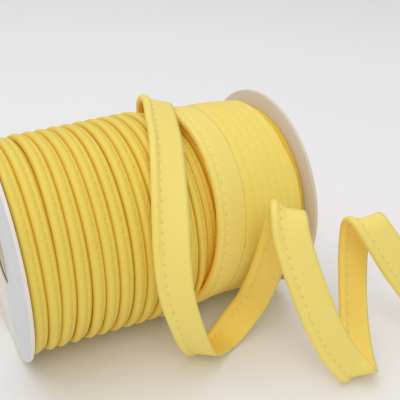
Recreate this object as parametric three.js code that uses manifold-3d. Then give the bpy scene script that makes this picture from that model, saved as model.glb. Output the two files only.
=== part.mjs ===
// Roll of piping trim: a card spool lying on its flanges, wound with a 12 mm bias-cut piping,
// with the loose end hanging over the front and standing on the floor in three open arches.
// Millimetres, +Z up. X runs along the spool, -Y is the front, and the floor is Z = 0. The sizes
// below have Y = 0 on the spool's axis and X = 0 about halfway along it.

import * as THREE from "three";
import * as BufferGeometryUtils from "three/addons/utils/BufferGeometryUtils.js";
import Module from "manifold-3d";

const wasm = await Module();
wasm.setup();

const GAP = 0.3; // between touching pieces

// The card spool
const FLANGE_RADIUS = 40;
const FLANGE_THICKNESS = 1.2;
const INSIDE = { left: -52, right: 52.8 }; // the flanges' inner faces
const AXIS_HEIGHT = 39.7; // a little less than the radius: the card is crushed flat where it stands
const BORE_RADIUS = 12.5;
const CORE_RADIUS = 15;
const FLANGE_STEPS = 48;
const CORE_STEPS = 40;

// The piping: a filler cord in a folded bias strip
const PIPING_WIDTH = 12;
const BEAD_RADIUS = 1.45;
const TAPE_THICKNESS = 1;
const TAPE_END = PIPING_WIDTH - BEAD_RADIUS; // tape edge, from the bead's centre
const BEAD_SIDES = 9; // points on the bead's round part
const STEPS_PER_STATION = 3;

// The wound form
const TURN_STEPS = 40;
const RIB_PITCH = 4.92;
const RIB_START = -43.3; // first bead at the top of the roll
const RIB_RADIUS = { left: 38.2, growthPerRib: 0.1, largest: 39.2 };
const WOUND = { left: INSIDE.left + GAP, right: INSIDE.right - GAP };
const WINDING_BORE = CORE_RADIUS + GAP;

// One rib across its pitch: how far along, and how far below the bead's top
const RIB_PROFILE = [
  { along: -1.45, below: 1.9 },
  { along: -0.85, below: 0.25 },
  { along: 0.6, below: 0.1 },
  { along: 1.95, below: 0.75 },
  { along: 3.1, below: 0.95 },
];

// The beads run on a little past the left flange's place and under the upper layer
const FIRST_RIB = -3;
const LAST_RIB = 13;

// Where the ribbed layer sinks, going under the upper layer
const RIB_DIP = [
  { x: 4, drop: 0 },
  { x: 8, drop: 1.9 },
  { x: 12, drop: 3.2 },
  { x: 26, drop: 4 },
];

// The upper layer's left edge round the roll: 0 is the front, 90 the top
const UPPER_EDGE = [
  { angle: -90, x: 7.5 },
  { angle: -30, x: 9.4 },
  { angle: 0, x: 12.1 },
  { angle: 30, x: 13.6 },
  { angle: 60, x: 13.8 },
  { angle: 90, x: 15.4 },
  { angle: 130, x: 16.2 },
  { angle: 180, x: 12 },
  { angle: 225, x: 8.5 },
  { angle: 270, x: 7.5 },
];

// The upper layer's radius: first along from its left edge, then at places along the spool
const UPPER_LIP = [
  { along: -1.5, radius: 36.2 },
  { along: -1.0, radius: 38.1 },
  { along: 0, radius: 38.6 },
  { along: 1.2, radius: 38.1 },
  { along: 4, radius: 37.7 },
];
const UPPER_CROWN = [
  { x: 23, radius: 37.4 },
  { x: 27, radius: 37.5 },
  { x: 31, radius: 37.7 },
  { x: 35, radius: 37.7 },
  { x: 39, radius: 37.4 },
  { x: 43, radius: 37 },
];

// Where the upper layer ends at the right, short of the flange, and the step down from it
const UPPER_END = [
  { angle: -90, x: 50 },
  { angle: 30, x: 50 },
  { angle: 60, x: 48.6 },
  { angle: 90, x: 47.5 },
  { angle: 130, x: 47.5 },
  { angle: 180, x: 48.5 },
  { angle: 270, x: 50 },
];
const UPPER_STEP = [
  { along: -1.2, radius: 36.7 },
  { along: 0, radius: 36.3 },
  { along: 0.8, radius: 34.3 },
];
const END_RADIUS = 34;

// The loose end: the bead's centre, and which way the tape lies from it, as a turn from +X
// about Z and a lean up from level
const TAIL = [
  // over the roll from behind
  { x: 14.6, y: 30, z: 68.9, turn: -8, lean: -8 },
  { x: 12.3, y: 24, z: 74.5, turn: -10, lean: -11 },
  { x: 10.1, y: 17, z: 79.1, turn: -12, lean: -15 },
  { x: 8.3, y: 10, z: 82, turn: -14, lean: -19 },
  { x: 6.8, y: 4.5, z: 82.9, turn: -15, lean: -21 },
  { x: 5, y: -1, z: 82.3, turn: -15, lean: -20 },
  { x: 2.8, y: -7, z: 80.9, turn: -15, lean: -18 },
  // down the front
  { x: -0.5, y: -17, z: 77.8, turn: -13, lean: -17 },
  { x: -4.5, y: -26.5, z: 72.2, turn: -13, lean: -13 },
  { x: -8, y: -34.5, z: 65, turn: -17, lean: -8 },
  { x: -10.5, y: -40, z: 56.5, turn: -24, lean: -1 },
  { x: -12, y: -44, z: 47, turn: -31, lean: 5 },
  { x: -12, y: -47, z: 36, turn: -38, lean: 9 },
  { x: -9.5, y: -48, z: 25, turn: -43, lean: 11 },
  { x: -5.5, y: -46.5, z: 14, turn: -47, lean: 12 },
  // first bend on the floor
  { x: -0.5, y: -43, z: 5.5, turn: -52, lean: 12 },
  { x: 6, y: -38.5, z: 1.9, turn: -55, lean: 8 },
  { x: 13, y: -34.5, z: 2.3, turn: -56, lean: 0 },
  { x: 20, y: -33, z: 7.5, turn: -51, lean: -12 },
  // up against the roll
  { x: 24.3, y: -35.5, z: 16, turn: -41, lean: -17 },
  { x: 25.6, y: -40, z: 27, turn: -29, lean: -16 },
  { x: 27, y: -43, z: 38.5, turn: -24, lean: -14 },
  { x: 28.8, y: -44.5, z: 49, turn: -25, lean: -12 },
  // over the second arch
  { x: 29.2, y: -45.6, z: 55, turn: -28, lean: -12 },
  { x: 28.2, y: -48, z: 59.8, turn: -30, lean: -10 },
  { x: 26, y: -51.5, z: 61.3, turn: -31, lean: -6 },
  { x: 24, y: -55, z: 59, turn: -29, lean: -1 },
  { x: 23.2, y: -58, z: 53.5, turn: -25, lean: 6 },
  // down to the second bend on the floor
  { x: 23.8, y: -62, z: 45.5, turn: -21, lean: 12 },
  { x: 25.8, y: -66.5, z: 35.5, turn: -19, lean: 18 },
  { x: 29, y: -71, z: 24, turn: -16, lean: 26 },
  { x: 33.6, y: -74.2, z: 13.5, turn: -13, lean: 31 },
  { x: 37.6, y: -76.3, z: 7, turn: -14, lean: 32 },
  { x: 40.4, y: -77.3, z: 3.4, turn: -17, lean: 28 },
  { x: 43.2, y: -76.1, z: 1.8, turn: -19, lean: 20 },
  { x: 45.7, y: -72.4, z: 2.1, turn: -19, lean: 11 },
  // up to the third arch
  { x: 49.2, y: -66.5, z: 4.6, turn: -16, lean: 1 },
  { x: 53.6, y: -60, z: 10.5, turn: -10, lean: -7 },
  { x: 56.4, y: -54.5, z: 20, turn: -10, lean: -11 },
  { x: 57.8, y: -51, z: 30, turn: -12, lean: -9 },
  { x: 58.2, y: -49.6, z: 39, turn: -14, lean: -5 },
  { x: 58, y: -49.8, z: 44, turn: -14, lean: -2 },
  { x: 57.5, y: -51.4, z: 47.4, turn: -13, lean: 1 },
  { x: 57.2, y: -54.2, z: 48.9, turn: -11, lean: 5 },
  { x: 57.4, y: -57.2, z: 47.8, turn: -9, lean: 11 },
  { x: 58.6, y: -59.7, z: 44.6, turn: -8, lean: 19 },
  // down again, and a short run on the floor to the cut end
  { x: 61.4, y: -62.2, z: 39.4, turn: -7, lean: 26 },
  { x: 66.4, y: -65.2, z: 30.4, turn: -7, lean: 31 },
  { x: 73, y: -68.5, z: 20.5, turn: -8, lean: 33 },
  { x: 80, y: -71, z: 10.5, turn: -12, lean: 32 },
  { x: 84.5, y: -72, z: 4.8, turn: -20, lean: 27 },
  { x: 89, y: -71, z: 2.1, turn: -34, lean: 16 },
  { x: 94, y: -67.5, z: 1.8, turn: -45, lean: 2 },
  { x: 100, y: -62.5, z: 1.75, turn: -50, lean: -4 },
  { x: 106, y: -57.5, z: 1.75, turn: -50, lean: -5 },
];

// Colours and finishes
const YELLOW_COTTON = { color: 0xe8d277, roughness: 0.85, metalness: 0 };
const WHITE_CARD = { color: 0xe6e2d8, roughness: 0.75, metalness: 0 };
const KRAFT_CARD = { color: 0xc9b994, roughness: 0.85, metalness: 0 };

const radians = THREE.MathUtils.degToRad;

// A shape drawn in a plane across the spool becomes a piece along X
const ALONG_SPOOL = new THREE.Matrix4().makeBasis(
  new THREE.Vector3(0, 1, 0),
  new THREE.Vector3(0, 0, 1),
  new THREE.Vector3(1, 0, 0),
);

function named(name, geometry, finish) {
  const mesh = new THREE.Mesh(geometry, new THREE.MeshStandardMaterial(finish));
  mesh.name = name;
  return mesh;
}

// A value between the rows of a table, straight from one row to the next
function between(table, key, value, at) {
  const last = table.length - 1;
  if (at <= table[0][key]) return table[0][value];
  if (at >= table[last][key]) return table[last][value];
  const i = table.findIndex((row) => row[key] > at);
  const share = (at - table[i - 1][key]) / (table[i][key] - table[i - 1][key]);
  return THREE.MathUtils.lerp(table[i - 1][value], table[i][value], share);
}

function onRoll(x, angle, radius) {
  const a = radians(angle);
  return new THREE.Vector3(x, -radius * Math.cos(a), AXIS_HEIGHT + radius * Math.sin(a));
}

function geometryFrom(points, triangles) {
  const geometry = new THREE.BufferGeometry();
  const positions = points.flatMap((point) => point.toArray());
  geometry.setAttribute("position", new THREE.Float32BufferAttribute(positions, 3));
  geometry.setIndex(triangles);
  return geometry;
}

// Joining and cutting
function solid(geometry) {
  const bare = geometry.clone();
  bare.deleteAttribute("normal");
  bare.deleteAttribute("uv");
  const merged = BufferGeometryUtils.mergeVertices(bare, 1e-4);
  const vertProperties = new Float32Array(merged.attributes.position.array);
  const triVerts = new Uint32Array(merged.index.array);
  return new wasm.Manifold(new wasm.Mesh({ numProp: 3, vertProperties, triVerts }));
}

function fromSolid(manifold) {
  const { vertProperties, triVerts, numProp } = manifold.getMesh();
  const geometry = new THREE.BufferGeometry();
  const positions = [];
  for (let v = 0; v < vertProperties.length; v += numProp) {
    positions.push(vertProperties[v], vertProperties[v + 1], vertProperties[v + 2]);
  }
  geometry.setAttribute("position", new THREE.Float32BufferAttribute(positions, 3));
  geometry.setIndex([...triVerts]);
  return geometry;
}

// A flange: a card disc with a bore and a small flat where it stands
function flangeShape() {
  const halfFlat = Math.asin(Math.sqrt(1 - (AXIS_HEIGHT / FLANGE_RADIUS) ** 2));
  const bottom = -Math.PI / 2;
  const shape = new THREE.Shape();
  shape.absarc(0, AXIS_HEIGHT, FLANGE_RADIUS, bottom + halfFlat, bottom - halfFlat + 2 * Math.PI);
  shape.closePath();
  const bore = new THREE.Path();
  bore.absarc(0, AXIS_HEIGHT, BORE_RADIUS, 0, 2 * Math.PI, true);
  shape.holes.push(bore);
  return shape;
}

function flange(name, x, finish) {
  const geometry = new THREE.ExtrudeGeometry(flangeShape(), {
    depth: FLANGE_THICKNESS,
    bevelEnabled: false,
    curveSegments: FLANGE_STEPS,
  });
  geometry.applyMatrix4(ALONG_SPOOL);
  const mesh = named(name, geometry, finish);
  mesh.position.x = x;
  return mesh;
}

// The core: a card tube between the flanges
function core() {
  const { left, right } = WOUND;
  const profile = [
    new THREE.Vector2(BORE_RADIUS, left),
    new THREE.Vector2(CORE_RADIUS, left),
    new THREE.Vector2(CORE_RADIUS, right),
    new THREE.Vector2(BORE_RADIUS, right),
    new THREE.Vector2(BORE_RADIUS, left),
  ];
  const geometry = new THREE.LatheGeometry(profile, CORE_STEPS);
  geometry.rotateZ(-Math.PI / 2);
  geometry.translate(0, 0, AXIS_HEIGHT);
  return named("core", geometry, KRAFT_CARD);
}

// A solid of revolution whose radius varies: rows go round the roll, columns along it. The last
// row meets the first one moved along by a number of columns, so a screw thread closes on itself.
function rolledSolid(rows, shift) {
  const steps = rows.length;
  const columns = rows[0].length;
  const shared = columns - shift;
  const index = (step, column) => (step < steps ? step * columns + column : column + shift);
  const triangles = [];
  for (let step = 0; step < steps; step++) {
    const across = step === steps - 1 ? shared : columns;
    for (let column = 0; column < across - 1; column++) {
      const here = index(step, column);
      const beside = index(step, column + 1);
      const ahead = index(step + 1, column);
      const opposite = index(step + 1, column + 1);
      triangles.push(here, opposite, beside, here, ahead, opposite);
    }
  }
  const points = rows.flat();
  const left = rows.map((row, step) => index(step, 0));
  for (let column = shift; column > 0; column--) left.push(index(0, column));
  const right = rows.map((row, step) => index(step, columns - 1));
  for (let column = columns - 2; column >= shared - 1; column--) {
    right.push(index(steps - 1, column));
  }
  const leftMiddle = points.push(new THREE.Vector3(rows[0][0].x, 0, AXIS_HEIGHT)) - 1;
  const lastPoint = rows[steps - 1][columns - 1];
  const rightMiddle = points.push(new THREE.Vector3(lastPoint.x, 0, AXIS_HEIGHT)) - 1;
  left.forEach((point, i) => {
    triangles.push(left[(i + 1) % left.length], point, leftMiddle);
  });
  right.forEach((point, i) => {
    triangles.push(point, right[(i + 1) % right.length], rightMiddle);
  });
  return solid(geometryFrom(points, triangles));
}

// The angle of each step: from the top of the roll, down the front and round
function stepAngle(step) {
  return 90 - (360 * step) / TURN_STEPS;
}

// The ribbed layer: a bead and a strip of tape for each turn, a screw thread round the roll
function ribbedLayer() {
  const rows = [];
  for (let step = 0; step < TURN_STEPS; step++) {
    const row = [];
    for (let rib = FIRST_RIB; rib <= LAST_RIB; rib++) {
      const grown = RIB_RADIUS.left + RIB_RADIUS.growthPerRib * rib;
      const top = Math.min(grown, RIB_RADIUS.largest);
      for (const { along, below } of RIB_PROFILE) {
        const x = RIB_START + RIB_PITCH * (rib + step / TURN_STEPS) + along;
        row.push(onRoll(x, stepAngle(step), top - below - between(RIB_DIP, "x", "drop", x)));
      }
    }
    rows.push(row);
  }
  return rolledSolid(rows, RIB_PROFILE.length);
}

// The upper layer: tapes lapped flat over the beads, smooth but for its rolled left edge
function upperLayer() {
  const rows = [];
  for (let step = 0; step < TURN_STEPS; step++) {
    const angle = stepAngle(step);
    const wrapped = angle < -90 ? angle + 360 : angle;
    const edge = between(UPPER_EDGE, "angle", "x", wrapped);
    const lip = UPPER_LIP.map(({ along, radius }) => onRoll(edge + along, angle, radius));
    const crown = UPPER_CROWN.map(({ x, radius }) => onRoll(x, angle, radius));
    const end = between(UPPER_END, "angle", "x", wrapped);
    const drop = UPPER_STEP.map(({ along, radius }) => onRoll(end + along, angle, radius));
    rows.push([...lip, ...crown, ...drop, onRoll(WOUND.right, angle, END_RADIUS)]);
  }
  return rolledSolid(rows, 0);
}

function winding() {
  const width = WOUND.right - WOUND.left;
  const slab = new THREE.BoxGeometry(width, 3 * FLANGE_RADIUS, 3 * FLANGE_RADIUS);
  slab.translate((WOUND.left + WOUND.right) / 2, 0, AXIS_HEIGHT);
  const bore = new THREE.CylinderGeometry(WINDING_BORE, WINDING_BORE, 2 * width, CORE_STEPS);
  bore.rotateZ(Math.PI / 2);
  bore.translate(0, 0, AXIS_HEIGHT);
  const wound = ribbedLayer().add(upperLayer()).intersect(solid(slab)).subtract(solid(bore));
  return named("winding", fromSolid(wound), YELLOW_COTTON);
}

// The piping cut across: a round bead with the flat tape standing out from it
function pipingOutline() {
  const half = TAPE_THICKNESS / 2;
  const meets = Math.asin(half / BEAD_RADIUS);
  const outline = [new THREE.Vector2(TAPE_END, half)];
  for (let i = 0; i < BEAD_SIDES; i++) {
    const angle = meets + ((2 * Math.PI - 2 * meets) * i) / (BEAD_SIDES - 1);
    outline.push(new THREE.Vector2(Math.cos(angle), Math.sin(angle)).multiplyScalar(BEAD_RADIUS));
  }
  outline.push(new THREE.Vector2(TAPE_END, -half));
  return outline;
}

// The loose end: the outline carried along the bead, its tape square to the bead's direction
function tail() {
  const bead = TAIL.map(({ x, y, z }) => new THREE.Vector3(x, y, z));
  const facing = TAIL.map(({ turn, lean }) => new THREE.Vector3(turn, lean, 0));
  const route = new THREE.CatmullRomCurve3(bead, false, "catmullrom", 0.5);
  const twist = new THREE.CatmullRomCurve3(facing, false, "catmullrom", 0.5);
  const outline = pipingOutline();
  const steps = (TAIL.length - 1) * STEPS_PER_STATION;
  const points = [];
  const triangles = [];
  for (let step = 0; step <= steps; step++) {
    const centre = route.getPoint(step / steps);
    const along = route.getTangent(step / steps);
    const { x: turn, y: lean } = twist.getPoint(step / steps);
    const across = new THREE.Vector3(
      Math.cos(radians(lean)) * Math.cos(radians(turn)),
      Math.cos(radians(lean)) * Math.sin(radians(turn)),
      Math.sin(radians(lean)),
    );
    across.addScaledVector(along, -across.dot(along)).normalize();
    const out = new THREE.Vector3().crossVectors(along, across);
    for (const { x, y } of outline) {
      points.push(centre.clone().addScaledVector(across, x).addScaledVector(out, y));
    }
  }
  const sides = outline.length;
  for (let step = 0; step < steps; step++) {
    for (let side = 0; side < sides; side++) {
      const here = step * sides + side;
      const beside = step * sides + ((side + 1) % sides);
      triangles.push(here, beside, beside + sides, here, beside + sides, here + sides);
    }
  }
  const last = steps * sides;
  for (const [a, b, c] of THREE.ShapeUtils.triangulateShape(outline, [])) {
    triangles.push(c, b, a, last + a, last + b, last + c);
  }
  return named("tail", geometryFrom(points, triangles), YELLOW_COTTON);
}

const roll = new THREE.Group();
roll.add(
  flange("flange_left", INSIDE.left - FLANGE_THICKNESS, WHITE_CARD),
  flange("flange_right", INSIDE.right, KRAFT_CARD),
  core(),
  winding(),
  tail(),
);

// The whole stands centred over its own footprint on the floor
const middle = new THREE.Box3().setFromObject(roll).getCenter(new THREE.Vector3());
roll.position.set(-middle.x, -middle.y, 0);

export default roll;
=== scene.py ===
# %% [markdown]
# # A roll of piping trim
# Piping is a narrow strip of cotton, cut on the bias so that it bends well, folded round a thin
# filler cord and closed with one line of stitching. Some 25 metres of it are wound on a card
# spool. This notebook dresses the plain CAD model of such a roll: the trim is swept along its
# real path, so the bead, the flat tape and the stitches lie where a maker would find them.

import math

import bmesh
import bpy
import numpy as np
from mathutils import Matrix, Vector


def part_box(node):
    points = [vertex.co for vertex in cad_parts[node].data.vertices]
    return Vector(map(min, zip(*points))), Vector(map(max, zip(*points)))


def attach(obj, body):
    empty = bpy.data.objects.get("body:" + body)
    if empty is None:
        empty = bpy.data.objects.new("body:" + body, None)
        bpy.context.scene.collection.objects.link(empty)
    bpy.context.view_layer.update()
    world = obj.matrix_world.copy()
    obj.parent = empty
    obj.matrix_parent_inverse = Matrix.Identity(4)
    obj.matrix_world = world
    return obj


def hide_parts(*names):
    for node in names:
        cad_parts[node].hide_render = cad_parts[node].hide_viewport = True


# %% [markdown]
# ## The frame
# The CAD model comes in at its real size, in metres. The tables below are in millimetres from the
# middle of the spool, as a maker would measure them, so one helper turns them into scene metres.

# %% The CAD model and the middle of the spool
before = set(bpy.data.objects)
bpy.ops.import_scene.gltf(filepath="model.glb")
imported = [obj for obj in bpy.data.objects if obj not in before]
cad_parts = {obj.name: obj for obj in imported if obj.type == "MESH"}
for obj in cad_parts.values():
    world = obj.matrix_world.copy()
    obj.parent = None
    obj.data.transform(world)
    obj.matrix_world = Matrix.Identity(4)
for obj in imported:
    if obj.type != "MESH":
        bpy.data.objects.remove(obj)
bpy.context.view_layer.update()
INSIDE_LEFT = -52.0  # the flanges' inner faces
INSIDE_RIGHT = 52.8
MM = 0.001
left_low, left_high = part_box("flange_left")
MIDDLE = np.array([
    left_high[0] - MM * INSIDE_LEFT,
    (left_low[1] + left_high[1]) / 2,
    0.0,
])
print("middle of the spool", MIDDLE.round(4))

# %% From millimetres to the scene
def place(points):
    return MIDDLE + MM * np.asarray(points, float)


# %% The sizes that the pieces share
FLANGE_RADIUS = 40.0
FLANGE_THICKNESS = 1.2
AXIS_HEIGHT = 39.7
BORE_RADIUS = 12.5
CORE_RADIUS = 15.0
GAP = 0.3

PIPING_WIDTH = 12.0
BEAD_RADIUS = 1.45
TAPE_END = PIPING_WIDTH - BEAD_RADIUS
STITCH_LINE = 1.95  # from the bead's centre
STITCH_PITCH = 3.4
WOUND_RADIUS = 37.0  # of a middling turn, for lengths along the trim
print("piping", PIPING_WIDTH, "mm wide, bead", 2 * BEAD_RADIUS, "mm")

# %% [markdown]
# ## The camera
# The camera stands in front and to the left, a little above the roll, and looks down at it. Its
# place was worked out from the floor and the two round flanges, 107 mm over their outer faces.

# %% Camera
CAMERA_PLACE = (-81.62, -202.29, 158.84)
CAMERA_TARGET = (26.44, 0.0, 39.71)
CAMERA_LENS = 58.36

camera_data = bpy.data.cameras.new("camera")
camera_data.sensor_width = 36.0
camera_data.lens = CAMERA_LENS
camera_data.clip_start = 0.01
camera = bpy.data.objects.new("camera", camera_data)
bpy.context.scene.collection.objects.link(camera)
camera.location = Vector(place(CAMERA_PLACE))
sight = Vector(place(CAMERA_TARGET)) - camera.location
camera.rotation_euler = sight.to_track_quat("-Z", "Y").to_euler()
bpy.context.scene.camera = camera
print("camera is", round(sight.length, 3), "m from the roll")

# %% [markdown]
# ## Materials as sums
# A woven surface is easiest to write as arithmetic: a wave here, a mask there, one minus the
# other. The class below wraps a socket, so that such a sum in Python adds the Math nodes for it.


# %% A socket that takes part in sums
class Wire:
    def __init__(self, finish, socket):
        self.finish = finish
        self.socket = socket

    def sum(self, operation, *others):
        values = dict(enumerate((self, *others)))
        return self.finish.node("ShaderNodeMath", {"operation": operation}, values)

    def __add__(self, other):
        return self.sum("ADD", other)

    def __sub__(self, other):
        return self.sum("SUBTRACT", other)

    def __mul__(self, other):
        return self.sum("MULTIPLY", other)

    def __truediv__(self, other):
        return self.sum("DIVIDE", other)

    def __rsub__(self, other):
        settings = {"operation": "SUBTRACT"}
        return self.finish.node("ShaderNodeMath", settings, {0: other, 1: self})

    def __abs__(self):
        return self.sum("ABSOLUTE")

    __radd__ = __add__
    __rmul__ = __mul__


# %% A finish: one material and its nodes
class Finish:
    def __init__(self, name):
        self.material = bpy.data.materials.new(name)
        self.material.use_nodes = True
        self.tree = self.material.node_tree
        self.tree.nodes.clear()

    def node(self, kind, settings=None, values=None, result=0):
        made = self.tree.nodes.new(kind)
        for key, setting in (settings or {}).items():
            setattr(made, key, setting)
        for key, value in (values or {}).items():
            if isinstance(value, Wire):
                self.tree.links.new(value.socket, made.inputs[key])
            else:
                made.inputs[key].default_value = value
        return Wire(self, made.outputs[result]) if made.outputs else None

    def mix(self, share, first, second):
        settings = {"data_type": "RGBA"}
        return self.node("ShaderNodeMix", settings, {0: share, 6: first, 7: second}, result=2)

    def noise(self, vector, scale, detail=3.0, roughness=0.5):
        values = {"Vector": vector, "Scale": scale, "Detail": detail, "Roughness": roughness}
        return self.node("ShaderNodeTexNoise", {"noise_dimensions": "3D"}, values)

    def shader(self, values):
        surface = self.node("ShaderNodeBsdfPrincipled", {}, values)
        self.node("ShaderNodeOutputMaterial", {}, {"Surface": surface})
        return self.material


def clamped(wire):
    return wire.sum("MAXIMUM", 0.0).sum("MINIMUM", 1.0)


# %% [markdown]
# ## The cotton
# The strip is cut on the bias, so its yarns run at 45 degrees to its length. Each strip carries
# its own map: how far from the top of the bead, and how far along. In that map the weave is two
# sets of waves that take turns on top. The yellow varies a little, as dyed cotton does. Painted
# shade makes it deeper between the yarns and in the needle holes. The hollows, the gap by the
# flange and the inner face of the hanging strip get painted shade, a deeper orange, and a little
# emission there paints a glow.

# %% Yellow cotton
YARN = 0.42 * MM
STITCH_AT = 4.5 * MM  # over the bead to the stitch line
RIB_STITCH_AT = 4.15 * MM
YELLOW = (0.92, 0.725, 0.13, 1.0)
YELLOW_DEEP = (0.89, 0.655, 0.075, 1.0)
YELLOW_LIGHT = (0.94, 0.78, 0.18, 1.0)
# Painted shade colours, and the orange of the painted glow.
PAINTED_SHADE_YELLOW = (0.74, 0.5, 0.02, 1.0)
PAINTED_SHADE_DEEP = (0.72, 0.42, 0.008, 1.0)
PAINTED_GLOW_ORANGE = (1.0, 0.4, 0.0, 1.0)
LAST_TURN_LENGTH = 250.0
DARK = (0.0, 0.0, 0.0, 1.0)
# Painted shade in the needle holes, and how strongly it is mixed in.
NEEDLE_HOLE_SHADE = (0.5, 0.3, 0.03, 1.0)
NEEDLE_HOLE_SHADE_SHARE = 0.35


def cotton(name, tones, stitch_at=None, painted_shade=None, lit=0.1):
    """The shade mask takes the two map wires, in metres, and says where the cotton gets painted shade
    and a painted glow.
    """
    deep, plain, light = tones
    cloth = Finish(name)
    spot = cloth.node("ShaderNodeUVMap", {"uv_map": "strip"})
    parts = cloth.node("ShaderNodeSeparateXYZ", {}, {0: spot})
    node = parts.socket.node
    across = Wire(cloth, node.outputs[0])
    along = Wire(cloth, node.outputs[1])
    turn = math.pi / YARN / math.sqrt(2)
    warp = (across + along) * turn
    weft = (across - along) * turn
    warp_wave = warp.sum("SINE")
    weft_wave = weft.sum("SINE")
    over = (warp_wave * weft_wave).sum("GREATER_THAN", 0.0)
    weave = abs(warp_wave) * over + abs(weft_wave) * (1.0 - over)
    place_on = cloth.node("ShaderNodeTexCoord", {}, {}, result=3)
    patches = cloth.noise(place_on, 60.0)
    slubs = cloth.noise(place_on, 900.0, 2.0)
    # The weave term makes the cloth darker between the yarns: painted shade.
    tone = clamped(patches * 0.55 + slubs * 0.35 + weave * 0.25 - 0.07)
    colour = cloth.mix(tone, deep, light)
    colour = cloth.mix(0.45, colour, plain)
    height = weave * 0.6 + slubs * 0.5 + patches * 1.5
    painted_glow = DARK
    # Painted shade tints these places deeper orange, and emission paints a glow on them.
    if painted_shade:
        share = painted_shade(across, along)
        colour = cloth.mix(share * 0.8, colour, PAINTED_SHADE_YELLOW)
        painted_glow = cloth.mix(share * lit, DARK, PAINTED_GLOW_ORANGE)
    if stitch_at:
        from_line = abs(abs(across) - stitch_at)
        seam = clamped(1.0 - from_line / (0.55 * MM))
        step = (along / (STITCH_PITCH * MM)).sum("FRACT")
        to_hole = abs(step - 0.5) * (STITCH_PITCH * MM)
        spread = (from_line * from_line + to_hole * to_hole).sum("SQRT")
        hole = clamped(1.3 - spread / (0.38 * MM))
        # Painted shade in the needle holes.
        colour = cloth.mix(hole * NEEDLE_HOLE_SHADE_SHARE, colour, NEEDLE_HOLE_SHADE)
        height = height - seam * 1.5 - hole * 4.0
    values = {"Strength": 0.35, "Distance": 0.12 * MM, "Height": height}
    relief = cloth.node("ShaderNodeBump", {}, values)
    return cloth.shader({
        "Base Color": colour,
        "Roughness": 0.55,
        "Specular IOR Level": 0.6,
        "Sheen Weight": 0.12,
        "Sheen Roughness": 0.45,
        "Sheen Tint": (1.0, 0.9, 0.6, 1.0),
        "Emission Color": painted_glow,
        "Emission Strength": 0.3,
        "Normal": relief,
    })


# %% Where the cotton gets painted shade and a painted glow
# Painted shade and glow beside each rib's bead and where the tape runs under the next bead.
def groove_shade(across, along):
    beside_bead = clamped(1.2 - abs(across) / (1.3 * MM))
    under_next = clamped((abs(across) - 5.1 * MM) / (0.9 * MM))
    return clamped(beside_bead + under_next)


# Painted shade and glow on the inner face and bead flank of the last turn and the hanging strip.
def inner_face_shade(across, along):
    inner = clamped((across + 0.3 * MM) / (1.6 * MM)) * 0.4
    flank = clamped((across + 1.1 * MM) / (1.4 * MM)) * 0.8
    on_roll = clamped((LAST_TURN_LENGTH * MM - along) / (20 * MM))
    off_raw_edge = clamped((12.5 * MM - across) / (1.5 * MM))
    return clamped(inner + flank * on_roll) * off_raw_edge


# Painted shade and glow in the gap between the top layer and the right flange.
def flange_gap_shade(across, along):
    return clamped((across - 49.5 * MM) / (0.5 * MM))


# %% The cottons
YELLOWS = (YELLOW_DEEP, YELLOW, YELLOW_LIGHT)
# Lit and shaded copies of one cotton: the loose end's tones are a painted lighter yellow, the ribs'
# tones a painted darker one.
LIT_LOOSE_END_TONES = ((0.91, 0.68, 0.1, 1.0), (0.94, 0.76, 0.17, 1.0), (0.96, 0.81, 0.23, 1.0))
SHADED_RIB_TONES = ((0.84, 0.6, 0.05, 1.0), (0.87, 0.665, 0.09, 1.0), (0.9, 0.73, 0.14, 1.0))
yellow_cotton = cotton("yellow_cotton", LIT_LOOSE_END_TONES, STITCH_AT, inner_face_shade, lit=0.7)
ribbed_cotton = cotton("ribbed_cotton", SHADED_RIB_TONES, RIB_STITCH_AT, groove_shade)
plain_cotton = cotton("plain_cotton", YELLOWS, None, flange_gap_shade)
# The inner drum's cotton uses the painted shade colours throughout.
shaded_inner_cotton = cotton("shaded_inner_cotton", (PAINTED_SHADE_DEEP, PAINTED_SHADE_YELLOW, PAINTED_SHADE_YELLOW))
print("cottons", yellow_cotton.name, ribbed_cotton.name, plain_cotton.name, shaded_inner_cotton.name)

# %% [markdown]
# ## The thread and the filler cord
# The thread is a shiny two-ply yellow. On the ribs it sinks in, and the darker copy used there is
# painted shade. The filler cord is undyed cotton, and it shows only where the trim is cut.


# %% Thread and cord
def spun(name, colour, shade, twist, roughness):
    yarn = Finish(name)
    place_on = yarn.node("ShaderNodeTexCoord", {}, {}, result=3)
    fibres = yarn.noise(place_on, twist, 4.0, 0.7)
    tint = yarn.mix(fibres, shade, colour)
    values = {"Strength": 0.4, "Distance": 0.1 * MM, "Height": fibres}
    relief = yarn.node("ShaderNodeBump", {}, values)
    return yarn.shader({"Base Color": tint, "Roughness": roughness, "Normal": relief})


thread = spun("yellow_thread", (0.97, 0.89, 0.42, 1), (0.9, 0.74, 0.2, 1), 2600.0, 0.5)
# The thread on the ribs is a darker copy: painted shade.
shaded_rib_thread = spun("shaded_rib_thread", (0.9, 0.69, 0.12, 1), (0.74, 0.52, 0.05, 1), 2600.0, 0.6)
cord = spun("filler_cord", (0.92, 0.9, 0.84, 1), (0.75, 0.71, 0.62, 1), 1500.0, 0.9)
print("threads and cord", len(thread.node_tree.nodes), "nodes each")

# %% [markdown]
# ## The card
# The spool is pressed grey-brown card. It has short fibres, a few darker specks, and faint marks
# where it was rolled. The left flange is faced with white paper, which is smoother.


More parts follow.
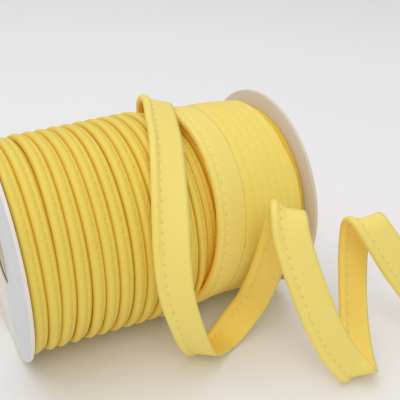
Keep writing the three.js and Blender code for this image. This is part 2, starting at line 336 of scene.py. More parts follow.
# %% Card finishes
def card(name, colour, shade, speck, roughness, fibre_scale, mark):
    board = Finish(name)
    place_on = board.node("ShaderNodeTexCoord", {}, {}, result=3)
    stretched = board.node(
        "ShaderNodeMapping", {}, {"Vector": place_on, "Scale": (1.0, 0.35, 1.0)}
    )
    fibres = board.noise(stretched, fibre_scale, 5.0, 0.65)
    clouds = board.noise(place_on, 45.0, 3.0)
    specks = clamped((board.noise(place_on, 1300.0, 1.0) - 0.68) * 9.0)
    tint = board.mix(clamped(fibres * 0.7 + clouds * 0.6 - 0.15), shade, colour)
    tint = board.mix(specks * mark, tint, speck)
    values = {"Strength": 0.3, "Distance": 0.1 * MM, "Height": fibres + clouds * 2.0}
    relief = board.node("ShaderNodeBump", {}, values)
    gloss = fibres * 0.15 + roughness
    return board.shader({"Base Color": tint, "Roughness": gloss, "Normal": relief})


white_paper = card(
    "white_paper", (0.82, 0.82, 0.83, 1), (0.66, 0.66, 0.68, 1), (0.6, 0.57, 0.52, 1), 0.45, 420.0, 0.25
)
cream_card = card(
    "cream_card", (0.92, 0.88, 0.8, 1), (0.84, 0.78, 0.66, 1), (0.6, 0.5, 0.36, 1), 0.7, 700.0, 0.4
)
kraft_card = card(
    "kraft_card", (0.78, 0.7, 0.6, 1), (0.7, 0.61, 0.5, 1), (0.45, 0.36, 0.25, 1), 0.72, 650.0, 0.5
)
print("three card finishes")

# %% [markdown]
# ## Meshes from rings
# Nearly everything here is one outline carried along a path: the piping along its turns, a
# flange's edge round the axis. One helper joins rings of points into a skin, closes its ends, and
# writes the map that the weave uses.


# %% A skin over rings
def skin(name, rings, across, along, finishes, closed=False, pick=None):
    """rings is steps x sides x 3 in millimetres; across and along are the map's numbers."""
    steps, sides = rings.shape[:2]
    mesh = bpy.data.meshes.new(name)
    faces = []
    chart = []
    kinds = []
    last = steps if closed else steps - 1
    for i in range(last):
        j = (i + 1) % steps
        for k in range(sides):
            m = (k + 1) % sides
            faces.append((i * sides + k, i * sides + m, j * sides + m, j * sides + k))
            chart += [(across[k], along[i]), (across[k + 1], along[i])]
            chart += [(across[k + 1], along[i + 1]), (across[k], along[i + 1])]
            kinds.append(pick[k] if pick else 0)
    if not closed:
        faces.append(tuple(range(sides))[::-1])
        faces.append(tuple((steps - 1) * sides + k for k in range(sides)))
        chart += [(across[k], along[0]) for k in range(sides)][::-1]
        chart += [(across[k], along[-1]) for k in range(sides)]
        kinds += [0, 0]
    mesh.from_pydata(place(rings.reshape(-1, 3)).tolist(), [], faces)
    chart_layer = mesh.uv_layers.new(name="strip")
    chart_layer.data.foreach_set("uv", (MM * np.array(chart)).ravel())
    mesh.polygons.foreach_set("material_index", kinds)
    mesh.polygons.foreach_set("use_smooth", [True] * len(faces))
    for finish in finishes:
        mesh.materials.append(finish)
    piece = bpy.data.objects.new(name, mesh)
    bpy.context.scene.collection.objects.link(piece)
    tidy_normals(mesh)
    return piece


def tidy_normals(mesh):
    work = bmesh.new()
    work.from_mesh(mesh)
    bmesh.ops.recalc_face_normals(work, faces=work.faces)
    work.to_mesh(mesh)
    work.free()


# %% Sharp corners stay sharp
def crease(piece, degrees):
    edge_split = piece.modifiers.new("corners", "EDGE_SPLIT")
    edge_split.split_angle = math.radians(degrees)
    edge_split.use_edge_sharp = False


# %% [markdown]
# ## The section of the piping
# Cut across, piping is a keyhole: a round bead, a pinch at the stitch line, then two layers of
# cotton lying together. The layers end in a raw edge, and one is a hair shorter than the other.
# Each point carries its distance over the cloth from the top of the bead, with a sign for the side.

# %% The keyhole section
BEAD_POINTS = 17
PINCH = 32  # degrees either side of the tape that the bead leaves open
TAPE_TOP = (
    # from the bead's centre, half thickness
    (1.6, 0.62),
    (1.95, 0.52),
    (2.45, 0.48),
    (3.1, 0.46),
    (3.5, 0.46),
    (3.95, 0.46),
    (5.0, 0.45),
    (7.0, 0.44),
    (9.3, 0.45),
)


def keyhole():
    pinch = math.radians(PINCH)
    bead = []
    for i in range(BEAD_POINTS):
        angle = pinch + (2 * math.pi - 2 * pinch) * i / (BEAD_POINTS - 1)
        bead.append((BEAD_RADIUS * math.cos(angle), BEAD_RADIUS * math.sin(angle)))
    upper = [(x, half) for x, half in reversed(TAPE_TOP)]
    lower = [(x, -half) for x, half in TAPE_TOP]
    edge_up = [(9.4, 0.02), (TAPE_END - 0.05, 0.07), (TAPE_END, 0.42)]
    edge_down = [(TAPE_END - 0.12, -0.42), (TAPE_END - 0.16, -0.07), (9.4, -0.02)]
    outline = np.array(upper + bead + lower + edge_down + edge_up)
    steps = np.linalg.norm(np.diff(outline, axis=0, append=outline[:1]), axis=1)
    run = np.concatenate([[0.0], np.cumsum(steps)])
    top = len(upper) + BEAD_POINTS // 2
    return outline, run - run[top]


SECTION, SECTION_RUN = keyhole()
print("section of", len(SECTION), "points, half of it", round(-SECTION_RUN[0], 2), "mm")

# %% [markdown]
# ## The ribbed turns
# On the left the trim was wound from left to right. Each turn's bead lies over the tape of the
# turn before, so only the bead, its stitch line and a sliver of tape show. The path is a screw
# thread. The tape is led down to the right, under the next bead, as in a tiled roof.

# %% Spacing of the ribbed turns
RIB_START = -45.0  # the first full bead, on the front
RIB_COUNT = (-2, 15)
RIB_SHIFT = (
    # turn, how far its bead lies to the right of an even pitch
    (-2, 2.5),
    (-1, 0.0),
    (3, 0.0),
    (4, -0.5),
    (6, -0.5),
    (7, -1.0),
    (8, -1.0),
    (9, -1.5),
    (14, -1.0),
)
RIB_SLANT = (
    # turn, how much further right its bead lies high up than low down
    (0, 0.0),
    (1, 2.0),
    (2, 2.0),
    (3, 1.0),
    (6, 1.0),
    (9, 0.5),
    (11, 0.0),
)
RIB_PITCH = 4.92
RIB_HIGH = 0.05  # shares of a turn, from the top down the front
RIB_LOW = 0.35
RIB_TURNS = (-1.8, 13.6)
RIB_STEPS = 140
RIB_SMOOTH = 15
RIB_STITCH = 1.6  # the stitch line on the ribs, from the bead's centre
RIB_STITCH_HEIGHT = 0.58
RIB_DIP = ((4, 0), (8, 1.6), (10.5, 3.0), (12.5, 5.2), (26, 5.2))  # x, how far it sinks
TAPE_FALL = (
    # from the bead's centre, how far the tape has sunk
    (0.2, 0.0),
    (0.9, -0.08),
    (1.5, -0.28),
    (1.95, -0.36),
    (2.6, -0.32),
    (3.1, 0.1),
    (3.5, 0.7),
    (3.95, 1.7),
    (4.92, 2.1),
    (7.0, 2.75),
    (TAPE_END, 4.2),
)
LOOSER_BELOW = ((1.3, 0.0), (3.5, 0.7), (TAPE_END, 0.7))  # the same, on the underside


def lookup(table, value):
    return np.interp(value, [row[0] for row in table], [row[1] for row in table])


def sway(at, seed, size):
    """A slow, repeatable wander, as hand-fed trim has."""
    rng = np.random.default_rng(seed)
    total = np.zeros_like(at)
    for rate in (0.9, 1.7, 3.1, 5.3):
        total += rng.uniform(0.4, 1.0) * np.sin(rate * at * 2.2 + rng.uniform(0, 6.28))
    return size * total / 3


# %% Rings of the ribbed turns
def rolled(x, angle, radius):
    return np.stack([
        x + 0 * angle,
        -radius * np.cos(angle),
        AXIS_HEIGHT + radius * np.sin(angle),
    ], axis=-1)


def rib_paths():
    knots = []
    for turn in range(*RIB_COUNT):
        x = RIB_START + RIB_PITCH * turn + lookup(RIB_SHIFT, turn)
        lean = lookup(RIB_SLANT, turn) / 2
        knots += [(turn + RIB_HIGH, x + lean), (turn + RIB_LOW, x - lean)]
    count = int((RIB_TURNS[1] - RIB_TURNS[0]) * RIB_STEPS)
    turns = np.linspace(*RIB_TURNS, count + 1)
    angle = math.pi / 2 - 2 * math.pi * turns
    spread = np.hanning(RIB_SMOOTH + 2)[1:-1]
    bead_x = np.pad(lookup(knots, turns), RIB_SMOOTH // 2, "edge")
    bead_x = np.convolve(bead_x, spread / spread.sum(), "valid") + sway(turns, 3, 0.08)
    top = np.minimum(38.2 + 0.1 * turns, 39.2) + sway(turns, 8, 0.1)
    top -= lookup(((-1.8, 6.0), (-1.35, 0.0)), turns)
    room = (lookup(knots, turns + 1) - lookup(knots, turns)) / RIB_PITCH
    return turns, angle, bead_x, top - BEAD_RADIUS, np.clip(room, 0.85, 1.15)


def rib_point(angle, bead_x, radius, room, x, y):
    """A point of the section: x from the bead's centre along the spool, y outward."""
    at = np.maximum(bead_x + x, INSIDE_LEFT + 0.25)
    below = np.maximum(-np.sin(angle), 0.0)
    sunk = lookup(TAPE_FALL, x / room) + below * lookup(LOOSER_BELOW, x / room)
    sunk = sunk + lookup(RIB_DIP, bead_x + x)
    return rolled(at, angle, radius - sunk + y)


turns, rib_angle, rib_x, rib_radius, rib_room = rib_paths()
rib_rings = np.stack(
    [rib_point(rib_angle, rib_x, rib_radius, rib_room, x, y) for x, y in SECTION], axis=1
)
rib_along = (turns - turns[0]) * 2 * math.pi * WOUND_RADIUS
ribbed_turns = skin("ribbed_turns", rib_rings, SECTION_RUN, rib_along, [ribbed_cotton])
print("ribbed turns", len(ribbed_turns.data.polygons), "faces,", round(rib_along[-1] / 1000, 2), "m")

# %% [markdown]
# ## Stitches
# A stitch is a short bridge of thread between two needle holes. Its ends dive into the cloth. All
# the stitches of one line are joined into one mesh, each a bent, tapering capsule.

# %% A line of stitches
STITCH_SPOTS = (
    # share along the stitch, height over the cloth, thickness
    (-0.5, -0.22, 0.55),
    (-0.4, 0.02, 0.85),
    (0.0, 0.1, 1.0),
    (0.4, 0.02, 0.85),
    (0.5, -0.22, 0.55),
)
STITCH_LENGTH = 2.5
THREAD_RADIUS = 0.2
THREAD_SIDES = 6
FACES_PER_STITCH = (len(STITCH_SPOTS) - 1) * THREAD_SIDES + 2


def stitch_line(name, length, where, spun_thread):
    """where(at, height) gives points, and the side and outward directions, at distances along."""
    starts = np.arange(0.5 * STITCH_PITCH, length - STITCH_PITCH, STITCH_PITCH)
    starts = starts + 0.5 * STITCH_PITCH
    points = []
    faces = []
    for share, height, thick in STITCH_SPOTS:
        at = starts + share * STITCH_LENGTH
        centre, side, out = where(at, height)
        for k in range(THREAD_SIDES):
            turn = 2 * math.pi * k / THREAD_SIDES
            swing = side * math.cos(turn) + out * math.sin(turn) * 0.8
            points.append(centre + THREAD_RADIUS * thick * swing)
    cloud = np.stack(points, axis=1)
    ring = THREAD_SIDES
    each = cloud.shape[1]
    for i in range(len(starts)):
        base = i * each
        for j in range(len(STITCH_SPOTS) - 1):
            for k in range(ring):
                m = (k + 1) % ring
                low = base + j * ring
                faces.append((low + k, low + m, low + ring + m, low + ring + k))
        faces.append(tuple(base + k for k in range(ring))[::-1])
        faces.append(tuple(base + each - ring + k for k in range(ring)))
    mesh = bpy.data.meshes.new(name)
    mesh.from_pydata(place(cloud.reshape(-1, 3)).tolist(), [], faces)
    mesh.polygons.foreach_set("use_smooth", [True] * len(faces))
    mesh.materials.append(spun_thread)
    tidy_normals(mesh)
    piece = bpy.data.objects.new(name, mesh)
    bpy.context.scene.collection.objects.link(piece)
    return piece


# %% Stitches on the ribbed turns
def on_ribs(at, height):
    turn = turns[0] + at / (2 * math.pi * WOUND_RADIUS)
    angle = math.pi / 2 - 2 * math.pi * turn
    bead_x = np.interp(turn, turns, rib_x)
    radius = np.interp(turn, turns, rib_radius)
    room = np.interp(turn, turns, rib_room)
    centre = rib_point(angle, bead_x, radius, room, RIB_STITCH, RIB_STITCH_HEIGHT + height)
    side = np.zeros_like(centre)
    side[:, 0] = 1.0
    out = rolled(0.0, angle, 1.0)
    out[:, 2] -= AXIS_HEIGHT
    return centre, side, out


SHOWN_RIBS = 11.6  # turns whose stitches show before the upper layer hides them
stitched_run = (SHOWN_RIBS - RIB_TURNS[0]) * 2 * math.pi * WOUND_RADIUS
rib_stitches = stitch_line("rib_stitches", stitched_run, on_ribs, shaded_rib_thread)
print("stitches on the ribs", len(rib_stitches.data.polygons) // FACES_PER_STITCH)

# %% [markdown]
# ## The loose end and the last turn
# The last turn of the roll and the loose end are one length of trim. It starts under its own
# neighbours at the back, goes round once, lifts off behind the roll, comes over the top, hangs
# down the front and runs along the floor in three open arches. The last turn's table goes by the
# angle round the roll. The loose end's table gives the bead's centre and which way the tape points
# from it: its turn about the upright axis, and its lean from level.

# %% The last turn on the roll
LAST_TURN = (
    # angle round the roll, bead's x, bead's radius, tape's rise outward per mm
    (235, 22.0, 35.0, 0.06),
    (205, 21.5, 35.8, 0.04),
    (175, 20.5, 36.6, 0.03),
    (150, 19.0, 37.05, 0.02),
    (120, 17.6, 37.15, 0.02),
    (90, 16.8, 37.15, 0.0),
    (60, 16.9, 37.15, 0.0),
    (30, 16.2, 37.15, 0.0),
    (0, 14.2, 37.15, 0.0),
    (-30, 11.2, 37.15, 0.01),
    (-60, 8.0, 37.15, 0.02),
    (-90, 7.5, 37.15, 0.02),
    (-120, 8.2, 37.3, 0.03),
    (-150, 9.8, 37.8, 0.06),
    (-178, 12.0, 38.8, 0.06),
    (-200, 13.6, 40.1, 0.0),
    (-213, 14.3, 41.1, -0.08),
)

# %% The loose end
LOOSE_END = (
    # x, y, z, turn, lean
    (14.6, 30, 68.9, -8, -8),
    (12.3, 24, 74.5, -10, -11),
    (10.1, 17, 79.1, -12, -15),
    (8.3, 10, 82, -14, -19),
    (6.8, 4.5, 82.9, -15, -21),
    (5, -1, 82.3, -15, -20),
    (2.8, -7, 80.9, -15, -18),
    (-0.5, -17, 77.8, -13, -17),
    (-4.5, -26.5, 72.2, -13, -13),
    (-8, -34.5, 65, -17, -8),
    (-10.5, -40, 56.5, -24, -1),
    (-12, -44, 47, -31, 5),
    (-12, -47, 36, -38, 9),
    (-9.5, -48, 25, -43, 11),
    (-5.5, -46.5, 14, -47, 12),
    (-0.5, -43, 5.5, -52, 12),
    (6, -38.5, 1.9, -55, 8),
    (13, -34.5, 2.3, -56, 0),
    (20, -33, 7.5, -51, -12),
    (24.3, -35.5, 16, -41, -17),
    (25.6, -40, 27, -29, -16),
    (27, -43, 38.5, -24, -14),
    (28.8, -44.5, 49, -25, -12),
    (29.2, -45.6, 55, -28, -12),
    (28.2, -48, 59.8, -30, -10),
    (26, -51.5, 61.3, -31, -6),
    (24, -55, 59, -29, -1),
    (23.2, -58, 53.5, -25, 6),
    (23.8, -62, 45.5, -21, 12),
    (25.8, -66.5, 35.5, -19, 18),
    (29, -71, 24, -16, 26),
    (33.6, -74.2, 13.5, -13, 31),
    (37.6, -76.3, 7, -14, 32),
    (40.4, -77.3, 3.4, -17, 28),
    (43.2, -76.1, 1.8, -19, 20),
    (45.7, -72.4, 2.1, -19, 11),
    (49.2, -66.5, 4.6, -16, 1),
    (53.6, -60, 10.5, -10, -7),
    (56.4, -54.5, 20, -10, -11),
    (57.8, -51, 30, -12, -9),
    (58.2, -49.6, 39, -14, -5),
    (58, -49.8, 44, -14, -2),
    (57.5, -51.4, 47.4, -13, 1),
    (57.2, -54.2, 48.9, -11, 5),
    (57.4, -57.2, 47.8, -9, 11),
    (58.6, -59.7, 44.6, -8, 19),
    (61.4, -62.2, 39.4, -7, 26),
    (66.4, -65.2, 30.4, -7, 31),
    (73, -68.5, 20.5, -8, 33),
    (80, -71, 10.5, -12, 32),
    (84.5, -72, 4.8, -20, 27),
    (89, -71, 2.1, -34, 16),
    (94, -67.5, 1.8, -45, 2),
    (100, -62.5, 1.75, -50, -4),
    (106, -57.5, 1.75, -50, -5),
)


# %% One smooth path through both tables
def wound_stations():
    angle, x, radius, rise = np.array(LAST_TURN).T
    angle = np.radians(angle)
    centre = rolled(x, angle, radius)
    out = rolled(0.0, angle, 1.0) - (0.0, 0.0, AXIS_HEIGHT)
    across = np.array([1.0, 0.0, 0.0]) + rise[:, None] * out
    return np.hstack([centre, across / np.linalg.norm(across, axis=1)[:, None]])


def loose_stations():
    table = np.array(LOOSE_END, float)
    turn, lean = np.radians(table[:, 3]), np.radians(table[:, 4])
    across = np.stack(
        [np.cos(lean) * np.cos(turn), np.cos(lean) * np.sin(turn), np.sin(lean)], axis=1
    )
    return np.hstack([table[:, :3], across])


def spline(stations, steps):
    """A smooth curve through the stations, steps points to each span."""
    first = 2 * stations[0] - stations[1]
    last = 2 * stations[-1] - stations[-2]
    knots = np.vstack([first, stations, last])
    t = np.linspace(0, 1, steps, endpoint=False)[:, None]
    spans = []
    for a, b, c, d in zip(knots, knots[1:], knots[2:], knots[3:]):
        m, n = (c - a) / 2, (d - b) / 2
        spans.append(b + m * t + (3 * (c - b) - 2 * m - n) * t**2 + (2 * (b - c) + m + n) * t**3)
    return np.vstack([*spans, stations[-1:]])


PATH_STEPS = 12
path = spline(np.vstack([wound_stations(), loose_stations()]), PATH_STEPS)
path_centre = path[:, :3]
print("path of", len(path), "points")


# %% Directions along the path
def unit(vectors):
    return vectors / np.linalg.norm(vectors, axis=1)[:, None]


path_along = unit(np.gradient(path_centre, axis=0))
path_across = path[:, 3:] - path_along * np.sum(path[:, 3:] * path_along, axis=1)[:, None]
path_across = unit(path_across)
path_out = np.cross(path_along, path_across)
path_run = np.concatenate([[0.0], np.cumsum(np.linalg.norm(np.diff(path_centre, axis=0), axis=1))])
print("last turn and loose end:", round(path_run[-1]), "mm")

# %% Where the tape sags under its bead
SAGS = (
    # row of the loose end, how far, over what length
    (25, 1.5, 8.0),
    (42, 0.8, 7.0),
)


def sag_at(run):
    """How far the tape hangs inward of its bead at the tops of the arches."""
    total = np.zeros_like(run)
    for row, far, reach in SAGS:
        top = path_run[(len(LAST_TURN) + row) * PATH_STEPS]
        total += far * np.exp(-(((run - top) / reach) ** 2))
    return total


def sag_share(x):
    return min(max((x - 1.3) / 2.7, 0.0), 1.0)


SNUG = (
    # from the bead's centre, how far outward the tape is pushed on the last turn
    (0.9, 0.0),
    (1.6, 0.42),
    (2.2, 0.68),
    (3.1, 0.72),
    (5.9, 0.5),
    (6.8, 0.08),
    (8.5, 0.0),
    (10.6, -0.3),
)
WOUND_UNTIL = path_run[(len(LAST_TURN) - 4) * PATH_STEPS]
LET_GO = 25.0


def snug_at(run):
    """One on the last turn, where tension levels the tape with its bead; nothing beyond."""
    return np.clip((WOUND_UNTIL - run) / LET_GO + 1.0, 0.0, 1.0)


print("sags", SAGS, "wound until", round(WOUND_UNTIL), "mm")

# %% The strip of trim
path_sag = sag_at(path_run)
path_snug = snug_at(path_run)
bead_swell = 1.0 + 0.02 * np.sin(path_run / 3.1) + 0.015 * np.sin(path_run / 1.3 + 1.0)
strip_rings = []
for x, y in SECTION:
    grow = bead_swell if x < 1.4 else np.ones_like(bead_swell)
    ripple = 0.0 if x < 2.5 else 0.05 * (x - 2.0) / 8.5 * np.sin(path_run / 7.0 + 0.4 * x)
    strip_rings.append(
        path_centre
        + path_across * (x * grow)[:, None]
        + path_out
        * (y * grow + ripple - sag_share(x) * path_sag + lookup(SNUG, x) * path_snug)[:, None]
    )
strip_rings = np.stack(strip_rings, axis=1)
loose_end = skin("loose_end", strip_rings, SECTION_RUN, path_run, [yellow_cotton])
print("loose end", len(loose_end.data.polygons), "faces")


# %% Its stitches, on both faces
def on_path(at, height, face):
    def follow(values):
        return np.stack([np.interp(at, path_run, values[:, i]) for i in range(3)], axis=1)

    side = unit(follow(path_across))
    out = unit(follow(path_out)) * face
    centre = follow(path_centre) + side * STITCH_LINE + out * (0.5 + height)
    moved = lookup(SNUG, STITCH_LINE) * snug_at(at) - sag_share(STITCH_LINE) * sag_at(at)
    centre += out * (face * moved)[:, None]
    return centre, side, out


outer_stitches = stitch_line(
    "outer_stitches", path_run[-1], lambda at, height: on_path(at, height, 1.0), thread
)
inner_stitches = stitch_line(
    "inner_stitches", path_run[-1], lambda at, height: on_path(at, height, -1.0), thread
)
stitch_count = len(outer_stitches.data.polygons) // FACES_PER_STITCH
print("stitches on the loose end", stitch_count, "on each face")

# %% [markdown]
# ## The lapped turns
# On the right the top layer was wound back from right to left, so each tape lies over the bead of
# the turn before, and only a band of tape shows between one raw edge and the next. These bands are
# one closed body with a small step down after each edge and a soft swell over the hidden beads.

# %% Tables for the lapped turns
LAP_PITCH = 3.9
LAP_STEP = 0.42
FIRST_STEP = 0.05
LAP_BANDS = 8
LAP_START = (
    # angle round the roll, where the last turn's raw edge lies
    *[(angle, x + TAPE_END) for angle, x, *_ in LAST_TURN[::-1] if -90 <= angle <= 90],
    (120, 28.0),
    (150, 28.5),
    (175, 26.5),
    (195, 23.0),
    (215, 20.4),
    (240, 18.7),
    (270, 18.05),
)
CROWN = (
    # x along the spool, radius
    (16, 37.4),
    (23, 37.4),
    (27, 37.5),
    (31, 37.7),
    (35, 37.7),
    (39, 37.4),
    (43, 37.0),
    (47, 36.7),
    (52.5, 36.3),
)
LAP_FINISH = (
    # angle round the roll, where the top layer ends short of the flange
    (-90, 50.0),
    (30, 50.0),
    (60, 48.6),
    (90, 47.5),
    (130, 47.5),
    (180, 48.5),
    (270, 50.0),
)
LAP_BAND = (
    # share of the band, share of the step down, share of the swell
    (0.02, 1.0, 0.0),
    (0.25, 0.75, 0.6),
    (0.55, 0.4, 1.0),
    (0.8, 0.12, 0.6),
    (0.97, 0.0, 0.0),
)
LAP_SWELL = 0.14
LAP_ROUND = 240
LAPPED_END = INSIDE_RIGHT - GAP
END_RADIUS = 34.0
UNDER_LAST_TURN = 36.4
AGAINST_LAST_TURN = 37.0
DRUM_RADIUS = 30.0


# %% Rings of the lapped turns
def lapped_rings():
    degrees = np.linspace(-90, 270, LAP_ROUND, endpoint=False)
    angle = np.radians(degrees)
    start = lookup(LAP_START, degrees)
    finish = lookup(LAP_FINISH, degrees) - 0.7
    middle = start.mean()
    edges = [middle + (start - middle) * 0.8**j + LAP_PITCH * j for j in range(LAP_BANDS + 1)]
    edges = [edge + sway(angle * 0.9, 20 + j, 0.1) for j, edge in enumerate(edges)]
    columns = [(start - 8.5, DRUM_RADIUS), (start - 8.5, 34.5), (start - 7.5, UNDER_LAST_TURN)]
    columns += [(edges[0] - 0.35, AGAINST_LAST_TURN)]
    for j in range(LAP_BANDS):
        wide = edges[j + 1] - edges[j]
        for share, down, swell in LAP_BAND:
            x = np.minimum(edges[j] + share * wide, finish)
            step = LAP_STEP if j else FIRST_STEP
            columns.append((x, lookup(CROWN, x) - step * down + LAP_SWELL * swell))
    columns += [(finish + 0.45, 36.0), (finish + 0.7, 35.2), (finish + 0.75, END_RADIUS + 0.1)]
    columns += [((finish + LAPPED_END) / 2 + 0.3, END_RADIUS + 0.35)]
    columns += [(0 * start + LAPPED_END, END_RADIUS - 0.4)]
    columns += [(0 * start + LAPPED_END, DRUM_RADIUS)]
    return np.stack([rolled(x, angle, radius) for x, radius in columns], axis=1)


lap_rings = lapped_rings()
lap_across = np.concatenate([lap_rings[0, :, 0], lap_rings[0, :1, 0]])
lap_along = np.linspace(0, 2 * math.pi * WOUND_RADIUS, LAP_ROUND + 1)
lapped_turns = skin(
    "lapped_turns", lap_rings, lap_across, lap_along, [plain_cotton], closed=True
)
crease(lapped_turns, 50)
print("lapped turns", len(lapped_turns.data.polygons), "faces")

# %% [markdown]
# ## The turns inside
# Under what shows lie many more layers. They are one plain drum of cotton on the card core, so
# that nobody sees through a gap between two turns. Its cotton has the painted shade colours.

# %% The inner turns
INNER = (
    # x along the spool, radius
    (-51.7, 15.3),
    (-51.7, 32.3),
    (-30.0, 32.6),
    (2.0, 32.3),
    (8.0, 30.2),
    (14.0, 29.2),
    (30.0, 29.2),
    (52.5, 29.5),
    (52.5, 15.3),
)
ROUND = 144


def turned(name, outline, finishes, pick=None, warp=0.0, flat=False):
    """An outline of (x, radius) points carried once round the spool's axis."""
    angle = np.linspace(0, 2 * math.pi, ROUND, endpoint=False)
    rings = []
    for x, radius in outline:
        bent = warp * (radius / FLANGE_RADIUS) ** 2 * np.sin(2 * angle + 1.0)
        ring = rolled(x + bent, angle, radius)
        if flat:
            ring[:, 2] = np.maximum(ring[:, 2], 0.0)
        rings.append(ring)
    rings = np.stack(rings, axis=1)
    outline = np.array(outline + outline[:1])
    run = np.concatenate([[0.0], np.cumsum(np.linalg.norm(np.diff(outline, axis=0), axis=1))])
    round_run = np.linspace(0, 2 * math.pi * 30.0, ROUND + 1)
    return skin(name, rings, run, round_run, finishes, closed=True, pick=pick)


inner_turns = turned("inner_turns", list(INNER), [shaded_inner_cotton])
crease(inner_turns, 50)
print("inner turns", len(inner_turns.data.polygons), "faces")

# %% [markdown]
# ## The spool
# Two card discs are glued on the ends of a spiral card tube. A disc's rim shows that it is pressed
# from two plies. It is a little soft at its corners, and crushed flat where the roll stands.

# %% Flanges
RIM_SOFT = 0.25
FLANGE_WARP = 0.12


def flange(name, inner_x, way, finishes):
    """way is -1 for the left flange and 1 for the right one."""
    outer_x = inner_x + way * FLANGE_THICKNESS
    middle = (inner_x + outer_x) / 2
    rim = FLANGE_RADIUS
    outline = [
        (inner_x, BORE_RADIUS + 0.4),
        (inner_x, 26.0),
        (inner_x, rim - RIM_SOFT),
        (inner_x + way * RIM_SOFT * 0.4, rim - 0.08),
        (inner_x + way * RIM_SOFT, rim),
        (middle - way * 0.12, rim - 0.02),
        (middle, rim - 0.16),
        (middle + way * 0.12, rim - 0.02),
        (outer_x - way * RIM_SOFT, rim),
        (outer_x - way * RIM_SOFT * 0.4, rim - 0.08),
        (outer_x, rim - RIM_SOFT),
        (outer_x, 26.0),
        (outer_x, BORE_RADIUS + 0.4),
        (outer_x - way * 0.3, BORE_RADIUS),
        (inner_x + way * 0.3, BORE_RADIUS),
    ]
    pick = [0, 0, 1, 1, 1, 1, 1, 1, 1, 1, 2, 2, 1, 1, 1]
    piece = turned(name, outline, finishes, pick, warp=FLANGE_WARP, flat=True)
    crease(piece, 35)
    return piece


left_flange = flange("left_flange", INSIDE_LEFT, -1, [kraft_card, cream_card, cream_card])
right_flange = flange("right_flange", INSIDE_RIGHT, 1, [kraft_card, kraft_card, kraft_card])
print("flanges", len(left_flange.data.polygons), "faces each")

# %% [markdown]
# ## The paper facing
# Grey-white paper is pasted on the front half of the left flange. Its lower corner is round.

# %% Paper facing
PAPER_EDGE = (
    # angle round the flange, radius of the paper's outer edge
    (-81, 20.0),
    (-78.5, 26.5),
    (-73, 31.0),
    (-67, 34.5),
    (-58, 37.8),
    (-48, 39.6),
    (86, 39.6),
)
PAPER_HOLE = 13.2
PAPER_HOLE_ANGLES = (-77, 76)
PAPER_THICKNESS = 0.12


def paper_sheet():
    outside = INSIDE_LEFT - FLANGE_THICKNESS - 0.02
    degrees = np.linspace(PAPER_EDGE[0][0], PAPER_EDGE[-1][0], 141)
    outer_radius = lookup(PAPER_EDGE, degrees)
    inner_degrees = np.linspace(*PAPER_HOLE_ANGLES, 141)
    shares = [0.0, 0.25, 0.5, 0.75, 1.0]
    rings = []
    for thick, order in ((0.0, shares), (PAPER_THICKNESS, shares[::-1])):
        for share in order:
            angle = np.radians(inner_degrees + share * (degrees - inner_degrees))
            radius = PAPER_HOLE + share * (outer_radius - PAPER_HOLE)
            bent = FLANGE_WARP * (radius / FLANGE_RADIUS) ** 2 * np.sin(2 * angle + 1.0)
            rings.append(rolled(outside - thick + bent, angle, radius))
    rings = np.stack(rings, axis=1)
    across = np.linspace(0, 54.0, rings.shape[1] + 1)
    piece = skin("paper_facing", rings, across, degrees, [white_paper])
    crease(piece, 35)
    return piece


paper_facing = paper_sheet()
print("paper facing", len(paper_facing.data.polygons), "faces")

# %% The core
CORE_LEFT = INSIDE_LEFT + GAP
CORE_RIGHT = INSIDE_RIGHT - GAP
core_tube = turned(
    "core_tube",
    [
        (CORE_LEFT, BORE_RADIUS + 0.2),
        (CORE_LEFT, CORE_RADIUS),
        (CORE_RIGHT, CORE_RADIUS),
        (CORE_RIGHT, BORE_RADIUS + 0.2),
        (CORE_RIGHT - 0.5, BORE_RADIUS),
        (CORE_LEFT + 0.5, BORE_RADIUS),
    ],
    [kraft_card],
)
crease(core_tube, 35)
print("core", len(core_tube.data.polygons), "faces")

# %% [markdown]
# ## The cut end
# Where the trim is cut, the filler cord looks out of the bead: three soft plies, twisted.

# %% Filler cord
PLIES = 3
CORD_SIDES = 10


def cord_end():
    tip = path_centre[-1]
    ahead = path_along[-1]
    side = path_across[-1]
    out = path_out[-1]
    pieces = []
    reach = np.linspace(-2.0, 0.7, 10)
    for ply in range(PLIES):
        turn = 2 * math.pi * (ply / PLIES + reach / 9.0)
        thick = np.where(reach > 0.5, 0.42, 0.56)
        centre = tip + np.outer(reach, ahead)
        centre = centre + 0.6 * (np.outer(np.cos(turn), side) + np.outer(np.sin(turn), out))
        rings = []
        for k in range(CORD_SIDES):
            spin = 2 * math.pi * k / CORD_SIDES
            swing = side * math.cos(spin) + out * math.sin(spin)
            rings.append(centre + thick[:, None] * swing)
        run = np.linspace(0, 3.5, CORD_SIDES + 1)
        name = f"cord_ply_{ply}"
        pieces.append(skin(name, np.stack(rings, axis=1), run, reach, [cord]))
    return pieces


cord_plies = cord_end()
print("cord plies", len(cord_plies))

# %% [markdown]
# ## The studio
# The roll stands on a white sweep: a floor that curves up into a backdrop far behind it, so there
# is no horizon. A wide soft light above gives the pale tops, one beside the camera fills the
# front, and the world adds an even white.

# %% Floor and backdrop
SWEEP = (
    # away from the camera, up
    (-1.6, 0.0),
    (0.9, 0.0),
    (1.25, 0.05),
    (1.5, 0.2),
    (1.65, 0.45),
    (1.7, 0.9),
    (1.7, 2.6),
)
SWEEP_HALF_WIDTH = 3.0


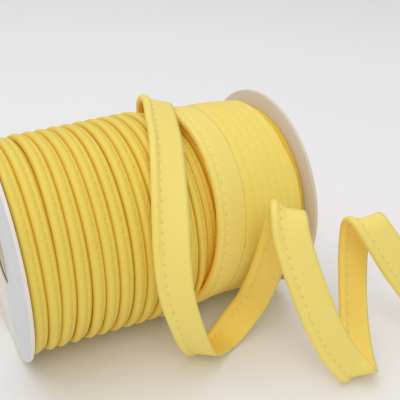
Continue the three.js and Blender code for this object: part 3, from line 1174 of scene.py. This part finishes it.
def sweep():
    ahead = Vector((sight.x, sight.y, 0.0)).normalized()
    side = Vector((ahead.y, -ahead.x, 0.0))
    points = []
    for away, up in SWEEP:
        for way in (-1, 1):
            spot = ahead * away + side * (way * SWEEP_HALF_WIDTH)
            points.append((spot.x, spot.y, up))
    faces = [(2 * i, 2 * i + 1, 2 * i + 3, 2 * i + 2) for i in range(len(SWEEP) - 1)]
    mesh = bpy.data.meshes.new("sweep")
    mesh.from_pydata(points, [], faces)
    mesh.polygons.foreach_set("use_smooth", [True] * len(faces))
    piece = bpy.data.objects.new("sweep", mesh)
    bpy.context.scene.collection.objects.link(piece)
    return piece


backdrop = sweep()
paper = Finish("studio_paper")
paper_spot = paper.node("ShaderNodeTexCoord", {}, {}, result=3)
paper_tone = paper.noise(paper_spot, 3.0)
paper_colour = paper.mix(paper_tone, (0.87, 0.865, 0.86, 1), (0.89, 0.887, 0.885, 1))
backdrop.data.materials.append(paper.shader({"Base Color": paper_colour, "Roughness": 0.8}))
print("sweep", len(SWEEP), "rows")


# %% Lights
def soft_light(name, place_at, target, size, power, colour):
    data = bpy.data.lights.new(name, "AREA")
    data.shape = "RECTANGLE"
    data.size, data.size_y = size
    data.energy = power
    data.color = colour
    light = bpy.data.objects.new(name, data)
    bpy.context.scene.collection.objects.link(light)
    light.location = place_at
    light.rotation_euler = (Vector(target) - Vector(place_at)).to_track_quat("-Z", "Y").to_euler()
    return light


soft_light("top_light", (-0.1, 0.2, 1.0), (0, 0, 0.03), (1.3, 1.3), 4.8, (1.0, 0.99, 0.98))
soft_light("front_light", (-0.45, -1.0, 1.1), (0, 0, 0.03), (0.9, 0.9), 4.6, (1.0, 0.99, 0.98))
world = bpy.data.worlds.new("white_room")
world.use_nodes = True
world.node_tree.nodes["Background"].inputs["Color"].default_value = (0.98, 0.98, 1.0, 1.0)
world.node_tree.nodes["Background"].inputs["Strength"].default_value = 0.56
bpy.context.scene.world = world
bpy.context.scene.view_settings.view_transform = "Standard"
print("two lights and the world")

# %% [markdown]
# ## The pieces on the body
# Each piece rides on the model's one body and stands for the CAD solid whose place it takes. Those
# solids are hidden.

# %% What stands for what
wound = [ribbed_turns, rib_stitches, lapped_turns, inner_turns]
loose = [loose_end, outer_stitches, inner_stitches, *cord_plies]
for piece in [*wound, *loose, left_flange, right_flange, core_tube, paper_facing]:
    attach(piece, "root")
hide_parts("winding")
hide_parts("tail")
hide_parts("flange_left")
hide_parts("flange_right")
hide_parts("core")
print("pieces", len(wound) + len(loose) + 4)
